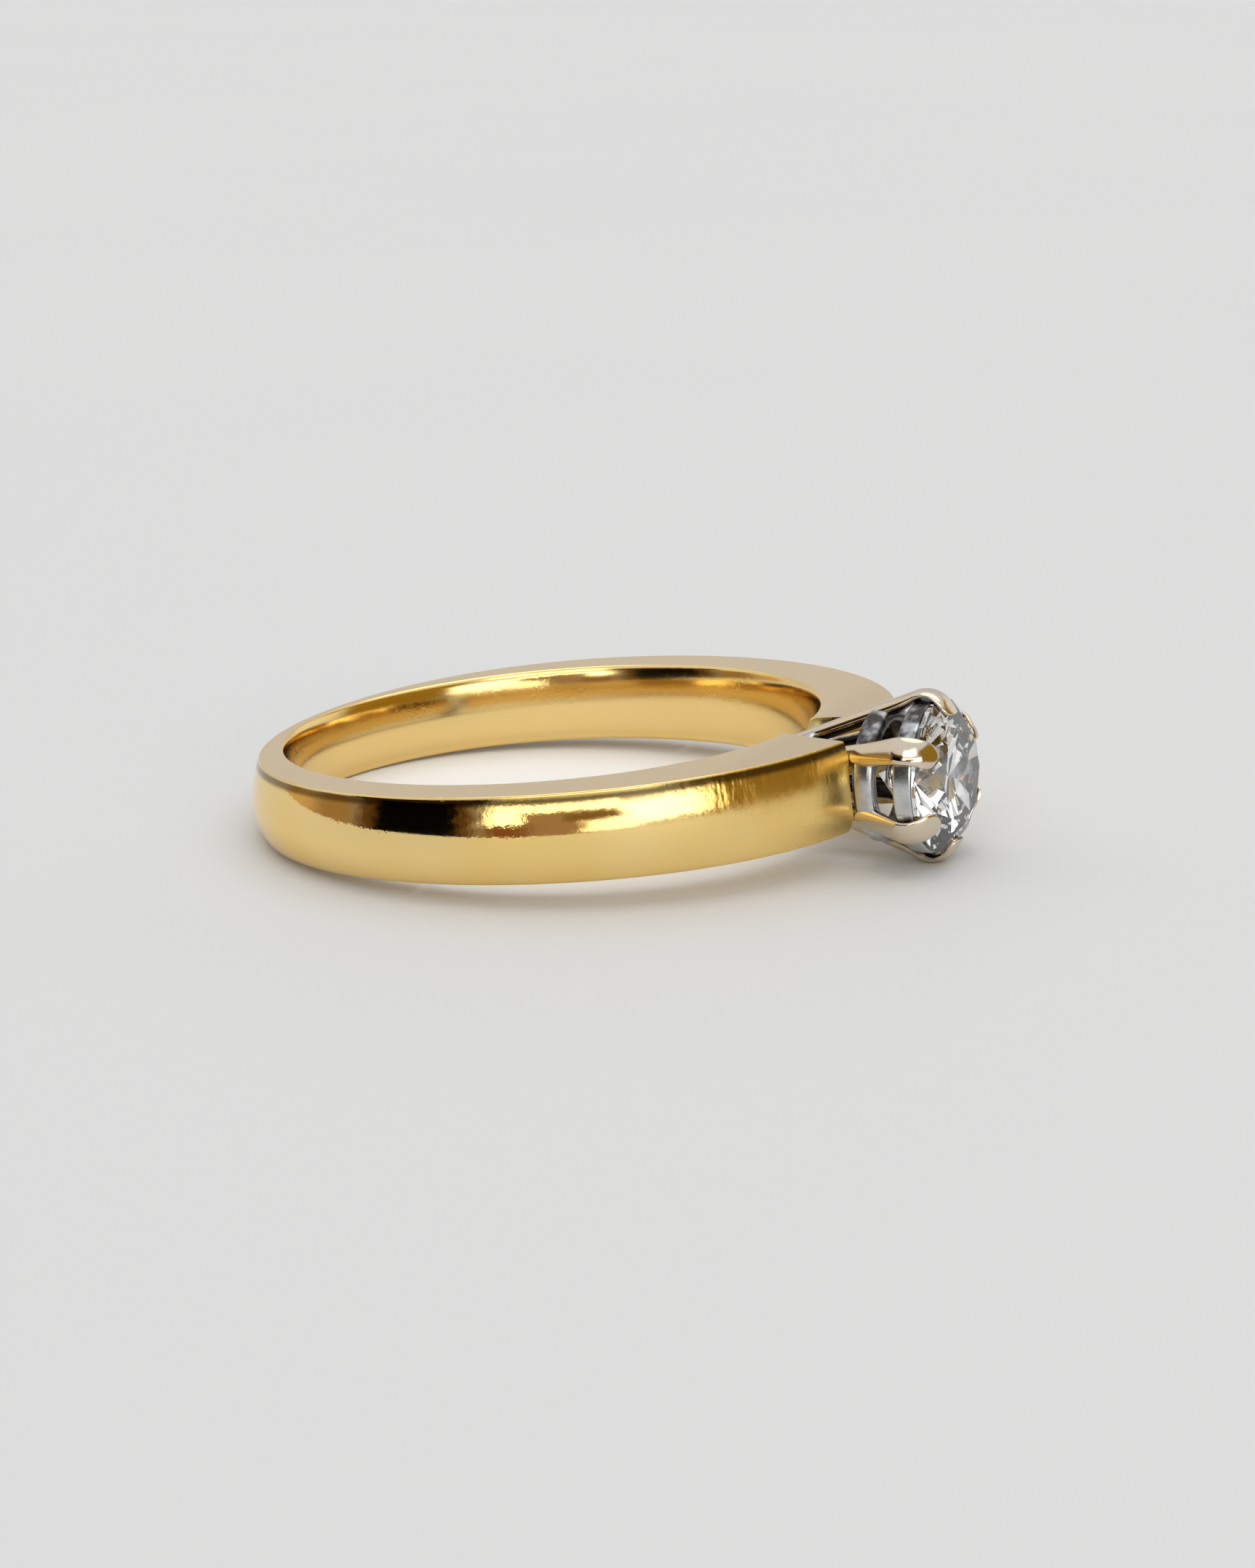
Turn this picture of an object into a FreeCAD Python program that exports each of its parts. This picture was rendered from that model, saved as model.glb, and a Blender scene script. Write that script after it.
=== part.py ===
import FreeCAD, Part
import math
import os

import Sketcher

# Solitaire engagement ring: a tapering band, a six-claw head and a round brilliant.
# The origin is the centre of the finger hole at mid-width.  +Z is the axis of the
# finger hole and +X points from the finger to the stone.  Lengths are in mm.

doc = FreeCAD.newDocument("EngagementRing")
sheet = doc.addObject("Spreadsheet::Sheet", "Dims")
sheet.Label = "dims"

# Driving dimensions: alias, value, what it is
DRIVING = [
    ("bore_diameter", 17.0, "finger hole"),
    ("bore_edge_round", 0.22, "rounding of the two rims of the finger hole"),
    ("back_width", 2.41, "band width opposite the stone"),
    ("head_width", 2.86, "band width at the stone"),
    ("back_thickness", 0.5, "side-wall thickness opposite the stone"),
    ("flank_thickness", 1.8, "side-wall thickness a quarter turn from the stone"),
    ("shoulder_thickness", 2.66, "side-wall thickness at the stone"),
    ("flank_sway", 0.17, "how far the taper leads or lags between those three places"),
    ("dome_rise", 0.28, "rise of the domed outside above the side walls"),
    ("root_radius", 1.14, "outside radius of the head at the finger hole"),
    ("claw_stand", 0.55, "how far the claws' outer faces stand outside the girdle"),
    ("shoulder_flat", 0.9, "flat part of the shoulder notch as a share of the head radius"),
    ("claw_depth", 0.52, "claw thickness across the axis of the head"),
    ("claw_root_width", 0.5, "claw width at the finger hole"),
    ("claw_bend_width", 0.92, "claw width where it bends over the stone"),
    ("claw_cover", 0.18, "claw thickness over the crown"),
    ("claw_bend_share", 0.4, "outside radius of the claw's bend as a share of the stone's radius"),
    ("claw_tip_share", 0.83, "distance from axis to claw's end as a share of the stone's radius"),
    ("claw_edge_round", 0.13, "rounding of the claw's outer edges"),
    ("ring_inset", 0.08, "how far the head's rings stand back from the claws' outer faces"),
    ("ring_depth", 0.68, "wall of the head's rings across the axis of the head"),
    ("ring_edge_round", 0.12, "rounding of the rings' outer edges"),
    ("collar_rise", 0.85, "height of the collar above the finger hole"),
    ("gallery_share", 0.554, "start of the lower gallery as a share of the girdle's height"),
    ("gallery_rise", 0.72, "height of the lower gallery"),
    ("bearing_rise", 0.62, "height of the bearing ring"),
    ("bearing_drop", 0.04, "top of the bearing ring below the girdle"),
    ("bearing_lip", 0.07, "how far the bearing ring stands out past the girdle"),
    ("girdle_height", 4.87, "middle of the girdle above the finger hole"),
    ("girdle_band", 0.09, "thickness of the girdle"),
    ("stone_diameter", 4.78, "girdle diameter"),
    ("table_share", 0.623, "table, corner to corner, as a share of the girdle diameter"),
    ("crown_angle", 34.5, "slope of the crown's main facets, degrees"),
    ("pavilion_angle", 40.8, "slope of the pavilion's main facets, degrees"),
    ("star_share", 0.52, "length of the star facets as a share of the crown"),
    ("lower_half_share", 0.77, "length of the lower girdle facets as a share of the pavilion"),
    ("seat_gap", 0.01, "clearance between the stone and the metal"),
]
# Dimensions that follow from them
DERIVED = [
    ("head_lean", "=atan((stone_diameter / 2 + claw_stand - root_radius) / girdle_height) / 1deg",
     "angle between a claw and the axis of the head, degrees"),
    ("claw_bend_radius", "=claw_bend_share * stone_diameter / 2", "outside radius of the bend"),
    ("claw_tip_radius", "=claw_tip_share * stone_diameter / 2", "distance from axis to claw's end"),
    ("gallery_height", "=gallery_share * girdle_height", "lower gallery above the finger hole"),
    ("table_diameter", "=table_share * stone_diameter", "table, corner to corner"),
]
for row, (alias, value, note) in enumerate(DRIVING + DERIVED, start=1):
    sheet.set(f"A{row}", note)
    sheet.set(f"B{row}", str(value))
    sheet.setAlias(f"B{row}", alias)
doc.recompute()

# Fixed counts and helper lengths that only have to be long enough
CLAW_COUNT = 6
MAIN_FACETS = 8
SECTION_COUNT = 25
FIRST_SECTION_ANGLE = 4.0
BORE_STOCK = 0.5
TOOL_REACH = 4.0
# A hair over half the chord, so that a half circle's centre stays on its own side
HALF_CIRCLE = 1.0001
SAME_POINT = 1e-6
ON_SURFACE = 1e-3

# Expressions built from the sheet's cells
BORE_RADIUS = "(dims.bore_diameter / 2)"
STONE_RADIUS = "(dims.stone_diameter / 2)"
TABLE_RADIUS = "(dims.table_diameter / 2)"
GIRDLE_TOP = f"({BORE_RADIUS} + dims.girdle_height + dims.girdle_band / 2)"
GIRDLE_FOOT = f"({BORE_RADIUS} + dims.girdle_height - dims.girdle_band / 2)"
TABLE_PLANE = f"({GIRDLE_TOP} + ({STONE_RADIUS} - {TABLE_RADIUS}) * tan(dims.crown_angle))"
CULET = f"({GIRDLE_FOOT} - {STONE_RADIUS} * tan(dims.pavilion_angle))"

# The facets bulge most halfway between the main facets.  There the stars and the lower
# girdle facets meet the mains, at these radii and heights above or below the girdle.
HALF_STEP = f"cos({180 / MAIN_FACETS})"
QUARTER_STEP = f"cos({90 / MAIN_FACETS})"
CROWN_MEET = (f"({TABLE_RADIUS} * {HALF_STEP} + dims.star_share"
              f" * ({STONE_RADIUS} - {TABLE_RADIUS} * {HALF_STEP}))")
CROWN_MEET_RISE = f"(({STONE_RADIUS} - {CROWN_MEET} * {HALF_STEP}) * tan(dims.crown_angle))"
PAVILION_MEET = f"({STONE_RADIUS} * (1 - dims.lower_half_share))"
PAVILION_MEET_DROP = (f"(({STONE_RADIUS} - {PAVILION_MEET} * {HALF_STEP})"
                      f" * tan(dims.pavilion_angle))")
UPPER_SLOPE = f"({CROWN_MEET_RISE} / ({STONE_RADIUS} - {CROWN_MEET} * {QUARTER_STEP}))"
LOWER_SLOPE = f"({PAVILION_MEET_DROP} / ({STONE_RADIUS} - {PAVILION_MEET} * {QUARTER_STEP}))"


def size(expression):
    """The present value of an expression, in mm or degrees."""
    return float(sheet.evalExpression(expression))


def head_radius(along):
    """Outside radius of the head at a distance along its axis."""
    return f"(dims.root_radius + ({along} - {BORE_RADIUS}) * tan(dims.head_lean))"


def turned(x_direction, y_direction):
    """Placement of a sketch whose local axes point along the two directions."""
    x_axis = FreeCAD.Vector(*x_direction)
    y_axis = FreeCAD.Vector(*y_direction)
    rotation = FreeCAD.Rotation(x_axis, y_axis, x_axis.cross(y_axis), "ZXY")
    return FreeCAD.Placement(FreeCAD.Vector(), rotation)


ALONG = (1, 0, 0)
ALONG_AND_UP = turned(ALONG, (0, 0, 1))
ALONG_AND_ACROSS = turned(ALONG, (0, 1, 0))


def pin_corner(sketch, geometry, end, kind, expression):
    """Tie one coordinate of a corner to an expression, measured from the sketch origin."""
    value = size(expression)
    if value < 0:
        index = sketch.addConstraint(Sketcher.Constraint(kind, geometry, end, -1, 1, -value))
        sketch.setExpression(f"Constraints[{index}]", f"-({expression})")
    else:
        index = sketch.addConstraint(Sketcher.Constraint(kind, -1, 1, geometry, end, value))
        sketch.setExpression(f"Constraints[{index}]", expression)


def add_outline(name, placement, corners, arcs=None):
    """Closed sketch through the corners; arcs maps a side's number to (radius, bulge sign)."""
    arcs = arcs or {}
    sketch = doc.addObject("Sketcher::SketchObject", name)
    sketch.Placement = placement
    points = [FreeCAD.Vector(size(x), size(y), 0) for x, y in corners]
    for side, start in enumerate(points):
        finish = points[(side + 1) % len(points)]
        if side in arcs:
            radius, bulge = arcs[side]
            half_chord = (finish - start) / 2
            outward = FreeCAD.Vector(half_chord.y, -half_chord.x, 0).normalize()
            drop = math.sqrt(size(radius) ** 2 - half_chord.Length ** 2)
            middle = start + half_chord + outward * (bulge * (size(radius) - drop))
            sketch.addGeometry(Part.Arc(start, middle, finish), False)
        else:
            sketch.addGeometry(Part.LineSegment(start, finish), False)
    ends = []
    for side, start in enumerate(points):
        first_end = sketch.getPoint(side, 1)
        ends.append(1 if first_end.distanceToPoint(start) < SAME_POINT else 2)
    for side in range(len(points)):
        following = (side + 1) % len(points)
        last_end = 3 - ends[side]
        sketch.addConstraint(
            Sketcher.Constraint("Coincident", side, last_end, following, ends[following]))
    for side, (x, y) in enumerate(corners):
        pin_corner(sketch, side, ends[side], "DistanceX", x)
        pin_corner(sketch, side, ends[side], "DistanceY", y)
    for side, (radius, bulge) in arcs.items():
        index = sketch.addConstraint(Sketcher.Constraint("Radius", side, size(radius)))
        sketch.setExpression(f"Constraints[{index}]", radius)
    return sketch


def extrude(name, sketch, length):
    """Solid that spreads from the sketch to both sides."""
    solid = doc.addObject("Part::Extrusion", name)
    solid.Base = sketch
    solid.DirMode = "Normal"
    solid.Symmetric = True
    solid.Solid = True
    solid.setExpression("LengthFwd", length)
    return solid


def revolve(name, sketch):
    """Solid turned about the axis of the head."""
    solid = doc.addObject("Part::Revolution", name)
    solid.Source = sketch
    solid.Axis = FreeCAD.Vector(1, 0, 0)
    solid.Base = FreeCAD.Vector()
    solid.Angle = 360
    solid.Solid = True
    return solid


def cut(name, base, tool):
    result = doc.addObject("Part::Cut", name)
    result.Base = base
    result.Tool = tool
    return result


def round_edges(name, base, radius, chosen):
    """Fillet on the edges that the test picks."""
    doc.recompute()
    result = doc.addObject("Part::Fillet", name)
    result.Base = base
    amount = size(radius)
    edges = enumerate(base.Shape.Edges, start=1)
    result.Edges = [(number, amount, amount) for number, edge in edges if chosen(edge)]
    return result


def finger_tool():
    """The finger hole as a solid, for cutting."""
    tool = doc.addObject("Part::Cylinder", "FingerTool")
    tool.setExpression("Radius", BORE_RADIUS)
    tool.setExpression("Height", f"dims.head_width + {2 * TOOL_REACH}")
    tool.Placement.Base = FreeCAD.Vector(0, 0, -size(f"dims.head_width / 2 + {TOOL_REACH}"))
    tool.setExpression("Placement.Base.z", f"-(dims.head_width / 2 + {TOOL_REACH})")
    return tool


def stone_seat_tool():
    """The stone's widest outline, turned, with the seat clearance outside it."""
    gap = "dims.seat_gap"
    edge_share = f"{STONE_RADIUS} * (1 - {QUARTER_STEP})"
    sketch = add_outline("StoneSeatOutline", ALONG_AND_UP, [
        (f"({CULET} - {gap} * 2)", "0"),
        (f"({TABLE_PLANE} + {gap})", "0"),
        (f"({TABLE_PLANE} + {gap})", f"({TABLE_RADIUS} + {gap})"),
        (f"({GIRDLE_TOP} + {CROWN_MEET_RISE} + {gap})", f"({CROWN_MEET} + {gap})"),
        (f"({GIRDLE_TOP} + {edge_share} * {UPPER_SLOPE} + {gap})", f"({STONE_RADIUS} + {gap})"),
        (f"({GIRDLE_FOOT} - {edge_share} * {LOWER_SLOPE} - {gap})", f"({STONE_RADIUS} + {gap})"),
        (f"({GIRDLE_FOOT} - {PAVILION_MEET_DROP} - {gap})", f"({PAVILION_MEET} + {gap})"),
    ])
    return revolve("StoneSeatTool", sketch)


def head_envelope_tool():
    """The cone that the claws' outer faces lie on, for seating the head in the shoulders."""
    low = f"({BORE_RADIUS} - {BORE_STOCK})"
    high = f"({BORE_RADIUS} + dims.girdle_height)"
    sketch = add_outline("HeadConeOutline", ALONG_AND_UP, [
        (low, "0"),
        (high, "0"),
        (high, head_radius(high)),
        (low, head_radius(low)),
    ])
    return revolve("HeadConeTool", sketch)


def shoulder_notch_tool():
    """Wedge that parts the band's two shoulders, straight through the width."""
    low = f"({BORE_RADIUS} - {2 * BORE_STOCK})"
    high = f"({BORE_RADIUS} + dims.girdle_height)"
    half_low = f"(dims.shoulder_flat * {head_radius(low)})"
    half_high = f"(dims.shoulder_flat * {head_radius(high)})"
    sketch = add_outline("NotchOutline", ALONG_AND_ACROSS, [
        (low, f"-{half_low}"),
        (high, f"-{half_high}"),
        (high, half_high),
        (low, half_low),
    ])
    return extrude("NotchTool", sketch, f"dims.head_width + {TOOL_REACH}")


def side_wall(angle):
    """Side-wall thickness at an angle from the stone."""
    turn = f"cos({angle})"
    lean = "(dims.shoulder_thickness - dims.back_thickness) / 2"
    fill = "((dims.shoulder_thickness + dims.back_thickness) / 2 - dims.flank_thickness)"
    sway = f"dims.flank_sway * (cos({3 * angle}) - {turn})"
    return f"(dims.flank_thickness + {lean} * {turn} + {fill} * {turn}^2 + {sway})"


def band_section(number, angle):
    """One D-shaped section of the band: flat sides and a domed outside."""
    half_width = (f"((dims.back_width + (dims.head_width - dims.back_width)"
                  f" * (1 + cos({angle})) / 2) / 2)")
    inside = f"({BORE_RADIUS} - {BORE_STOCK})"
    edge = f"({BORE_RADIUS} + {side_wall(angle)})"
    dome = f"(({half_width}^2 + dims.dome_rise^2) / (2 * dims.dome_rise))"
    turn = math.radians(angle)
    placement = turned((math.cos(turn), math.sin(turn), 0), (0, 0, 1))
    return add_outline(f"BandSection{number}", placement, [
        (inside, f"-{half_width}"),
        (edge, f"-{half_width}"),
        (edge, half_width),
        (inside, half_width),
    ], arcs={1: (dome, 1)})


def build_shank(finger, head_cone, notch, claws):
    step = (360 - 2 * FIRST_SECTION_ANGLE) / (SECTION_COUNT - 1)
    loft = doc.addObject("Part::Loft", "BandLoft")
    loft.Sections = [
        band_section(number + 1, round(FIRST_SECTION_ANGLE + number * step, 4))
        for number in range(SECTION_COUNT)]
    loft.Solid = True
    loft.Ruled = False
    bored = cut("BandBored", loft, finger)
    parted = cut("BandParted", bored, notch)
    seated = cut("BandSeated", parted, head_cone)

    def is_bore_rim(edge):
        """The two long edges of the finger hole; its ends at the notch are short."""
        middle = edge.valueAt((edge.FirstParameter + edge.LastParameter) / 2)
        points = [vertex.Point for vertex in edge.Vertexes] + [middle]
        off_bore = [abs(math.hypot(p.x, p.y) - size(BORE_RADIUS)) for p in points]
        return max(off_bore) < ON_SURFACE and edge.Length > 2 * size("dims.head_width")

    rounded = round_edges("BandRounded", seated, "dims.bore_edge_round", is_bore_rim)
    # the claws are let into the shoulders
    shank = cut("Shank", rounded, claws)
    shank.Label = "shank"
    return shank


def claw_profile():
    """Corners of a claw seen from its side, and the side that is the bend."""
    fold = "(90 - dims.crown_angle)"
    slope = "tan(dims.head_lean)"
    low = f"({BORE_RADIUS} - {BORE_STOCK})"
    # the tip's outer face: the crown's slope, lifted by the cover
    lift = f"(dims.claw_cover / sin({fold}))"
    tip_along = (f"({GIRDLE_TOP} + ({STONE_RADIUS} - dims.claw_tip_radius)"
                 f" * tan(dims.crown_angle) + {lift})")
    tip_slope = f"tan({fold})"
    bend_along = (f"((dims.claw_tip_radius + {tip_along} * {tip_slope} - dims.root_radius"
                  f" + {BORE_RADIUS} * {slope}) / ({slope} + {tip_slope}))")
    bend_radius = head_radius(bend_along)
    reach = f"(dims.claw_bend_radius * tan((dims.head_lean + {fold}) / 2))"
    corners = [
        (low, head_radius(low)),
        (f"({bend_along} - {reach} * cos(dims.head_lean))",
         f"({bend_radius} - {reach} * sin(dims.head_lean))"),
        (f"({bend_along} + {reach} * cos({fold}))",
         f"({bend_radius} - {reach} * sin({fold}))"),
        (tip_along, "dims.claw_tip_radius"),
        (GIRDLE_TOP, "dims.claw_tip_radius"),
        (GIRDLE_TOP, f"({head_radius(GIRDLE_TOP)} - dims.claw_depth)"),
        (low, f"({head_radius(low)} - dims.claw_depth)"),
    ]
    corners.reverse()
    # reversed, the bend runs from corner 4 to corner 5
    return corners, {4: ("dims.claw_bend_radius", 1)}


def build_claw(number, finger, seat):
    """A tapered claw, bent over the crown, with a rounded end and a notch for the stone."""
    turn = math.radians((number - 1) * 360 / CLAW_COUNT)
    up = (0, -math.sin(turn), math.cos(turn))
    across = (0, math.cos(turn), math.sin(turn))
    name = f"Claw{number}"
    half_root = "(dims.claw_root_width / 2)"
    half_bend = "(dims.claw_bend_width / 2)"
    low = f"({BORE_RADIUS} - {BORE_STOCK})"
    high = f"({TABLE_PLANE} + {TOOL_REACH} / 2)"
    outer = f"({head_radius(high)} + {TOOL_REACH} / 2)"
    half_high = (f"({half_root} + ({half_bend} - {half_root})"
                 f" * ({high} - {low}) / ({GIRDLE_FOOT} - {low}))")

    corners, bend = claw_profile()
    side_outline = add_outline(f"{name}SideOutline", turned(ALONG, up), corners, bend)
    side = extrude(f"{name}Side", side_outline, "dims.claw_bend_width * 2")
    plan_outline = add_outline(f"{name}PlanOutline", turned(ALONG, across), [
        (low, f"-{half_root}"),
        (high, f"-{half_high}"),
        (high, half_high),
        (low, half_root),
    ])
    plan = extrude(f"{name}Plan", plan_outline, f"{outer} * 2")
    rough = doc.addObject("Part::MultiCommon", f"{name}Rough")
    rough.Shapes = [side, plan]
    # past the girdle the claw ends in a half circle, seen from the table
    tip_outline = add_outline(f"{name}TipOutline", turned(across, up), [
        (f"-{half_bend}", f"(dims.claw_tip_radius + {half_bend})"),
        (half_bend, f"(dims.claw_tip_radius + {half_bend})"),
        (half_bend, outer),
        (f"-{half_bend}", outer),
    ], arcs={0: (f"({half_bend} * {HALF_CIRCLE})", 1)})
    tip = extrude(f"{name}Tip", tip_outline, f"{high} * 2")
    leg_outline = add_outline(f"{name}LegOutline", turned(across, up), [
        (f"-{half_bend}", "0"),
        (half_bend, "0"),
        (half_bend, outer),
        (f"-{half_bend}", outer),
    ])
    leg = extrude(f"{name}Leg", leg_outline, f"{GIRDLE_FOOT} * 2")
    ends = doc.addObject("Part::MultiFuse", f"{name}Ends")
    ends.Shapes = [tip, leg]

    up_vector = FreeCAD.Vector(*up)
    across_vector = FreeCAD.Vector(*across)
    inner_limit = size(head_radius(BORE_RADIUS)) - size("dims.claw_depth") / 2

    def is_outer_edge(edge):
        """Long edges between the claw's flanks and its outer face, up to the girdle."""
        middle = edge.valueAt((edge.FirstParameter + edge.LastParameter) / 2)
        rise = middle.dot(up_vector) - (middle.x - size(BORE_RADIUS)) * size("tan(dims.head_lean)")
        off_centre = abs(middle.dot(across_vector)) > size(half_root) / 2
        along = [abs(vertex.Point.x - middle.x) for vertex in edge.Vertexes]
        lengthwise = max(along) > size("dims.claw_edge_round")
        outside = rise > inner_limit and middle.x < size(GIRDLE_TOP)
        return off_centre and lengthwise and outside

    rounded = round_edges(f"{name}Rounded", rough, "dims.claw_edge_round", is_outer_edge)
    trimmed = doc.addObject("Part::MultiCommon", f"{name}Trimmed")
    trimmed.Shapes = [rounded, ends]
    claw = cut(name, cut(f"{name}Seated", trimmed, seat), finger)
    claw.Label = f"claw_{number}"
    return claw


def build_ring(name, label, start, rise, high_radius, claws, tools):
    """A ring of the head: it has the claws' slope, and is notched for them."""
    end = f"({start} + {rise})"
    low_radius = f"({high_radius} - {rise} * tan(dims.head_lean))"
    outline = add_outline(f"{name}Outline", ALONG_AND_UP, [
        (start, f"({low_radius} - dims.ring_depth)"),
        (end, f"({high_radius} - dims.ring_depth)"),
        (end, high_radius),
        (start, low_radius),
    ])
    turned_ring = revolve(f"{name}Turned", outline)
    mean = size(f"({low_radius} + {high_radius}) / 2 - dims.ring_depth / 2")

    def is_outer_rim(edge):
        point = edge.Vertexes[0].Point
        is_circle = len(edge.Vertexes) == 1
        return is_circle and math.hypot(point.y, point.z) > mean

    body = round_edges(f"{name}Rounded", turned_ring, "dims.ring_edge_round", is_outer_rim)
    for number, tool in enumerate(tools, start=1):
        body = cut(f"{name}Cut{number}", body, tool)
    ring = cut(name, body, claws)
    ring.Label = label
    return ring


def facet_planes():
    """The brilliant's facets: first azimuth, count, slope, and a point (along, radius) on each."""
    radius = size(STONE_RADIUS)
    top = size(GIRDLE_TOP)
    foot = size(GIRDLE_FOOT)
    step = 360 / MAIN_FACETS
    crown = size("tan(dims.crown_angle)")
    pavilion = size("tan(dims.pavilion_angle)")
    table_edge = size(f"{TABLE_RADIUS} * {HALF_STEP}")
    star_rise = size(f"{TABLE_PLANE} - {GIRDLE_TOP} - {CROWN_MEET_RISE}")
    star = star_rise / (size(CROWN_MEET) - table_edge)
    return [
        (0, MAIN_FACETS, crown, top, radius, 1),
        (step / 2, MAIN_FACETS, star, size(TABLE_PLANE), table_edge, 1),
        (step / 4, 2 * MAIN_FACETS, size(UPPER_SLOPE), top, radius, 1),
        (0, MAIN_FACETS, pavilion, foot, radius, -1),
        (step / 4, 2 * MAIN_FACETS, size(LOWER_SLOPE), foot, radius, -1),
    ]


def build_diamond():
    """Round brilliant, ground facet by facet from a cylinder."""
    rough_start = size(CULET) - BORE_STOCK
    stone = Part.makeCylinder(size(STONE_RADIUS), size(TABLE_PLANE) - rough_start,
                              FreeCAD.Vector(rough_start, 0, 0), FreeCAD.Vector(*ALONG))
    reach = size("dims.stone_diameter")
    for first, count, slope, along, radius, side in facet_planes():
        tilt = math.atan(slope)
        for number in range(count):
            turn = math.radians(first + number * 360 / count)
            across = FreeCAD.Vector(0, math.cos(turn), math.sin(turn))
            normal = across * math.sin(tilt) + FreeCAD.Vector(side * math.cos(tilt), 0, 0)
            face_point = across * radius + FreeCAD.Vector(along, 0, 0)
            grinder = Part.makeBox(2 * reach, 2 * reach, reach)
            grinder.translate(FreeCAD.Vector(-reach, -reach, 0))
            grinder.Placement = FreeCAD.Placement(
                face_point, FreeCAD.Rotation(FreeCAD.Vector(0, 0, 1), normal)
            ).multiply(grinder.Placement)
            stone = stone.cut(grinder)
    diamond = doc.addObject("Part::Feature", "Diamond")
    diamond.Shape = stone.Solids[0]
    diamond.Placement = FreeCAD.Placement()
    diamond.Label = "diamond"
    return diamond


def write_parts(nodes):
    """Stop on any failed object or bad shape, then write one file per node."""
    for item in doc.Objects:
        if "Invalid" in item.State or "Error" in item.State:
            raise RuntimeError(f"{item.Name} failed: {item.State}")
    for node in nodes:
        if node.Shape.isNull() or not node.Shape.isValid():
            raise RuntimeError(f"{node.Label} has no valid shape")
        if len(node.Shape.Solids) != 1:
            raise RuntimeError(f"{node.Label} is {len(node.Shape.Solids)} solids, not one")
    os.makedirs("parts", exist_ok=True)
    for node in nodes:
        node.Shape.exportStep(f"parts/{node.Label}.step")
        print(f"{node.Label}: {node.Shape.Volume:.3f} mm3")


def main():
    finger = finger_tool()
    seat = stone_seat_tool()
    claws = [build_claw(number, finger, seat) for number in range(1, CLAW_COUNT + 1)]
    all_claws = doc.addObject("Part::MultiFuse", "AllClaws")
    all_claws.Shapes = claws
    shank = build_shank(finger, head_envelope_tool(), shoulder_notch_tool(), all_claws)

    collar_top = f"({BORE_RADIUS} + dims.collar_rise)"
    collar = build_ring("Collar", "base_collar", f"({BORE_RADIUS} - {BORE_STOCK})",
                        f"(dims.collar_rise + {BORE_STOCK})",
                        f"({head_radius(collar_top)} - dims.ring_inset)", all_claws, [finger])
    gallery_start = f"({BORE_RADIUS} + dims.gallery_height)"
    gallery_top = f"({gallery_start} + dims.gallery_rise)"
    gallery = build_ring("Gallery", "lower_gallery", gallery_start, "dims.gallery_rise",
                         f"({head_radius(gallery_top)} - dims.ring_inset)", all_claws, [seat])
    bearing_start = f"({GIRDLE_FOOT} - dims.bearing_drop - dims.bearing_rise)"
    bearing = build_ring("Bearing", "bearing_ring", bearing_start, "dims.bearing_rise",
                         f"({STONE_RADIUS} + dims.bearing_lip)", all_claws, [seat])
    doc.recompute()
    write_parts([shank, collar, gallery, bearing] + claws + [build_diamond()])


main()
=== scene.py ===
import math

import bmesh
import bpy
from mathutils import Matrix, Vector


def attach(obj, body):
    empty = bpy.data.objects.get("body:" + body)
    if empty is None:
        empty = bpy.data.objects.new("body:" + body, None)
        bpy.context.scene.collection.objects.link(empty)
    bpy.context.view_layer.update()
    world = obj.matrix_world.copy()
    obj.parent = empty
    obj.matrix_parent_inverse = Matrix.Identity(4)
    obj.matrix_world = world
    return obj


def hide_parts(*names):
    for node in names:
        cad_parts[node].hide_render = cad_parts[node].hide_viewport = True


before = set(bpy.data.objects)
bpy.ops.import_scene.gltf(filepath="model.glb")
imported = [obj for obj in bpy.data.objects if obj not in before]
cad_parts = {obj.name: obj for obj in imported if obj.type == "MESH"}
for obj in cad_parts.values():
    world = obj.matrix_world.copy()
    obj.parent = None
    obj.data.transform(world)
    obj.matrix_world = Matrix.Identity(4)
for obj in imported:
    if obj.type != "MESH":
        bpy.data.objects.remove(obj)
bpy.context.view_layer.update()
mm = 0.001


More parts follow.
